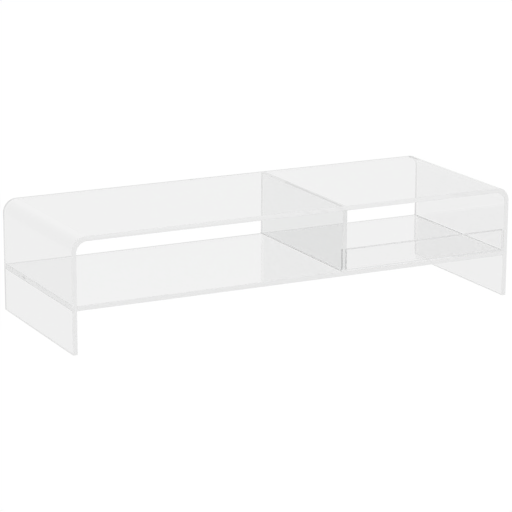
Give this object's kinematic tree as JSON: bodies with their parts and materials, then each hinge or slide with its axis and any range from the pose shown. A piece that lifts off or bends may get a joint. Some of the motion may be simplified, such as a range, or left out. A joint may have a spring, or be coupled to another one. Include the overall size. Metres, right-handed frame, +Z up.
{
  "type": "monitor riser stand",
  "caption": "Clear acrylic monitor riser: a bent waterfall top on two legs, with a full-length lower shelf, an off-centre divider and a low front lip across the smaller bay.",
  "frame": {"origin": "centre of the footprint, at desk level", "axes": "+X to the right as seen from the front, the side with the small bay; +Y to the back; +Z up"},
  "size_m": [0.508, 0.185, 0.12],
  "materials": {
    "clear_acrylic": "clear cast acrylic, 5 mm, glossy faces and flame-polished edges",
    "solvent_cement": "clear cured solvent cement, glossy"
  },
  "bodies": {
    "root": {"waterfall_sheet": "clear_acrylic", "lower_shelf": "clear_acrylic", "bay_divider": "clear_acrylic", "front_lip": "clear_acrylic", "seam_shelf_left": "solvent_cement", "seam_shelf_right": "solvent_cement", "seam_divider_top": "solvent_cement", "seam_divider_bottom": "solvent_cement", "seam_lip_bottom": "solvent_cement", "seam_lip_left": "solvent_cement", "seam_lip_right": "solvent_cement"}
  },
  "joints": []
}
